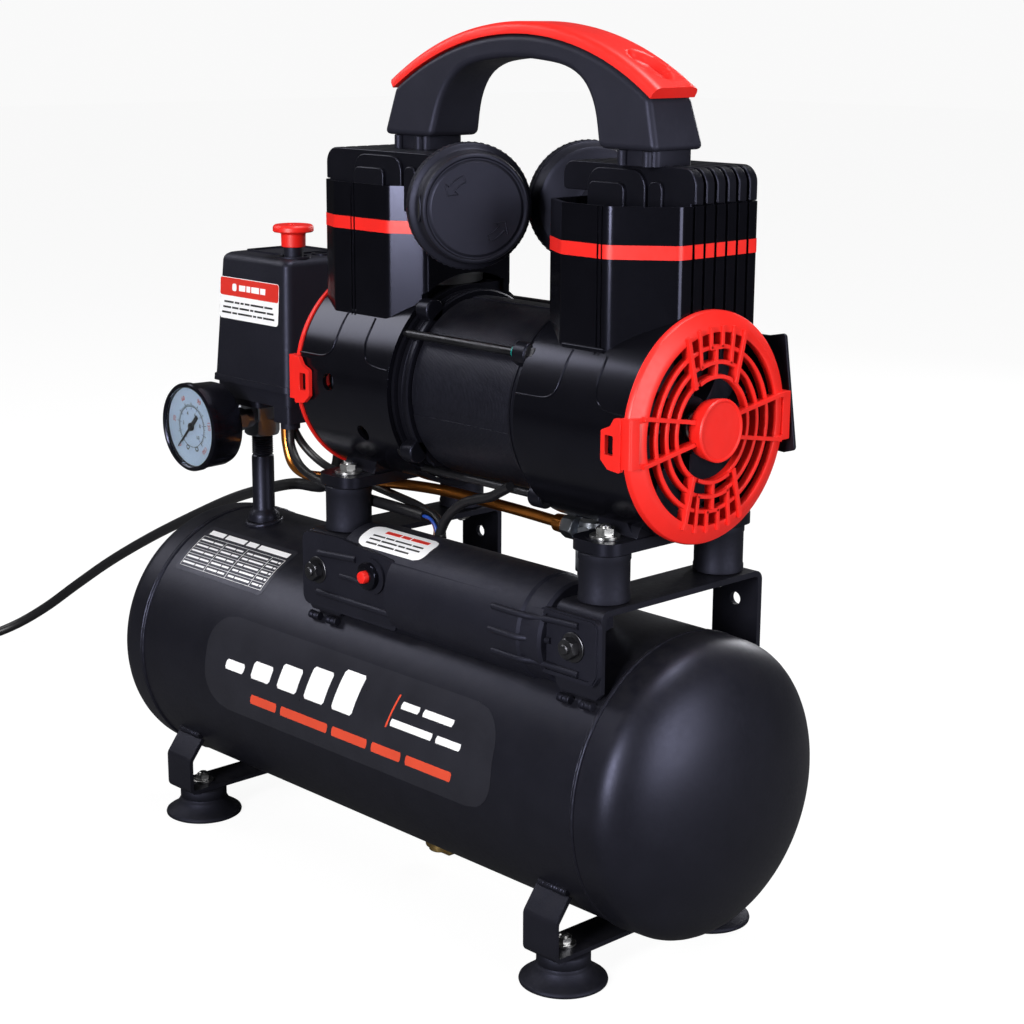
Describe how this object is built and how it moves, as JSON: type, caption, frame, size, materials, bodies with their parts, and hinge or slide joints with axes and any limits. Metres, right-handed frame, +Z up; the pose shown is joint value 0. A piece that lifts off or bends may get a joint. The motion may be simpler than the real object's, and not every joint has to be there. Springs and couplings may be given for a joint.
{
  "type": "air compressor",
  "caption": "Portable oil-free air compressor: twin-cylinder direct-drive motor pump on rubber mounts over a small horizontal tank, with pressure switch, gauge and arched carrying handle.",
  "frame": {"origin": "on the floor under the middle of the tank", "axes": "+X along the tank towards the right-hand fan, -Y the front with the gauge and the labels, +Z up"},
  "size_m": [0.8012, 0.2494, 0.4677],
  "materials": {
    "tank_paint": "satin black enamel",
    "frame_paint": "satin black enamel",
    "head_paint": "semi-gloss black",
    "gloss_black_plastic": "semi-gloss black",
    "black_plastic": "fine satin moulding",
    "handle_plastic": "satin moulding",
    "red_plastic": "satin red moulding",
    "rubber": "matte black rubber",
    "cord_rubber": "soft black sheath",
    "cast_aluminium": "as cast",
    "laminations": "black varnished laminations",
    "steel": "turned steel",
    "nickel_fittings": "nickel plate",
    "brass_fittings": "turned brass",
    "copper": "bright drawn copper",
    "capacitor_case": "pale moulded case",
    "needle_paint": "matte black"
  },
  "bodies": {
    "frame": {"tank": "tank_paint", "foot_strap_right": "frame_paint", "foot_strap_left": "frame_paint", "motor_saddle_right": "frame_paint", "motor_saddle_left": "frame_paint", "rubber_foot_front_right": "rubber", "rubber_foot_rear_right": "rubber", "rubber_foot_front_left": "rubber", "rubber_foot_rear_left": "rubber", "rubber_mount_front_right": "rubber", "rubber_mount_rear_right": "rubber", "rubber_mount_front_left": "rubber", "rubber_mount_rear_left": "rubber", "crankcase_right": "cast_aluminium", "crankcase_left": "cast_aluminium", "cylinder_sleeve_right": "cast_aluminium", "cylinder_sleeve_left": "cast_aluminium", "cylinder_head_right": "head_paint", "cylinder_head_left": "head_paint", "shroud_right": "gloss_black_plastic", "shroud_left": "gloss_black_plastic", "fan_guard_right": "red_plastic", "fan_guard_left": "red_plastic", "air_filter_base_right": "black_plastic", "air_filter_base_left": "black_plastic", "stator": "laminations", "handle_body": "handle_plastic", "handle_grip_cover": "red_plastic", "riser_pipe": "frame_paint", "port_manifold": "nickel_fittings", "gauge_case": "black_plastic", "safety_valve": "brass_fittings", "outlet_coupler": "nickel_fittings", "switch_cover": "black_plastic", "switch_base": "black_plastic", "check_valve": "nickel_fittings", "unloader_tube": "copper", "capacitor_cover": "black_plastic", "capacitor": "capacitor_case", "overload_protector": "black_plastic", "cord_strain_relief": "cord_rubber", "cord": "cord_rubber", "cord_coil": "cord_rubber", "plug": "cord_rubber"},
    "rotor": {"rotor_shaft": "steel", "rotor_core": "laminations", "crank_disc_right": "steel", "crank_disc_left": "steel", "cooling_fan_right": "black_plastic", "cooling_fan_left": "black_plastic"},
    "piston_right": {"piston_rod_right": "cast_aluminium"},
    "piston_left": {"piston_rod_left": "cast_aluminium"},
    "knob": {"switch_knob": "red_plastic"},
    "reset_button": {"overload_button": "red_plastic"},
    "needle": {"gauge_needle": "needle_paint"},
    "filter_cap_right": {"air_filter_cap_right": "black_plastic"},
    "filter_cap_left": {"air_filter_cap_left": "black_plastic"},
    "valve_ring": {"safety_valve_ring": "steel"},
    "coupler_collar": {"coupler_sleeve": "nickel_fittings"},
    "drain": {"drain_cock": "brass_fittings"}
  },
  "joints": [
    {"name": "rotor_spin", "type": "hinge", "parent": "frame", "child": "rotor", "pos_m": [0.069, 0, 0.28], "axis": [1, 0, 0], "continuous": true},
    {"name": "crank_pin_right", "type": "hinge", "parent": "rotor", "child": "piston_right", "pos_m": [0.149, 0, 0.286], "axis": [1, 0, 0], "continuous": true},
    {"name": "crank_pin_left", "type": "hinge", "parent": "rotor", "child": "piston_left", "pos_m": [-0.011, 0, 0.274], "axis": [1, 0, 0], "continuous": true},
    {"name": "knob_push", "type": "slide", "parent": "frame", "child": "knob", "axis": [0, 0, 1], "range_m": [-0.007, 0]},
    {"name": "reset_push", "type": "slide", "parent": "frame", "child": "reset_button", "axis": [0, 1, 0], "range_m": [0, 0.0025], "stiffness_N_per_m": 600},
    {"name": "needle_swing", "type": "hinge", "parent": "frame", "child": "needle", "pos_m": [-0.147, -0.061, 0.239], "axis": [0, 1, 0], "range_deg": [0, 270], "stiffness_Nm_per_rad": 0.0002},
    {"name": "filter_twist_right", "type": "hinge", "parent": "frame", "child": "filter_cap_right", "pos_m": [0.092, 0.024, 0.3775], "axis": [-0.866, 0.5, 0], "range_deg": [0, 25]},
    {"name": "filter_twist_left", "type": "hinge", "parent": "frame", "child": "filter_cap_left", "pos_m": [0.046, -0.024, 0.3775], "axis": [0.866, -0.5, 0], "range_deg": [0, 25]},
    {"name": "relief_pull", "type": "slide", "parent": "frame", "child": "valve_ring", "axis": [0, 1, 0], "range_m": [0, 0.003], "stiffness_N_per_m": 800},
    {"name": "coupler_slide", "type": "slide", "parent": "frame", "child": "coupler_collar", "axis": [1, 0, 0], "range_m": [0, 0.004], "stiffness_N_per_m": 700},
    {"name": "drain_turn", "type": "hinge", "parent": "frame", "child": "drain", "pos_m": [0, 0, 0.015], "axis": [0, 0, 1], "range_deg": [0, 360]}
  ],
  "couplings": [
    {"joint": "crank_pin_right", "follows": "rotor_spin", "ratio": -1},
    {"joint": "crank_pin_left", "follows": "rotor_spin", "ratio": -1}
  ]
}
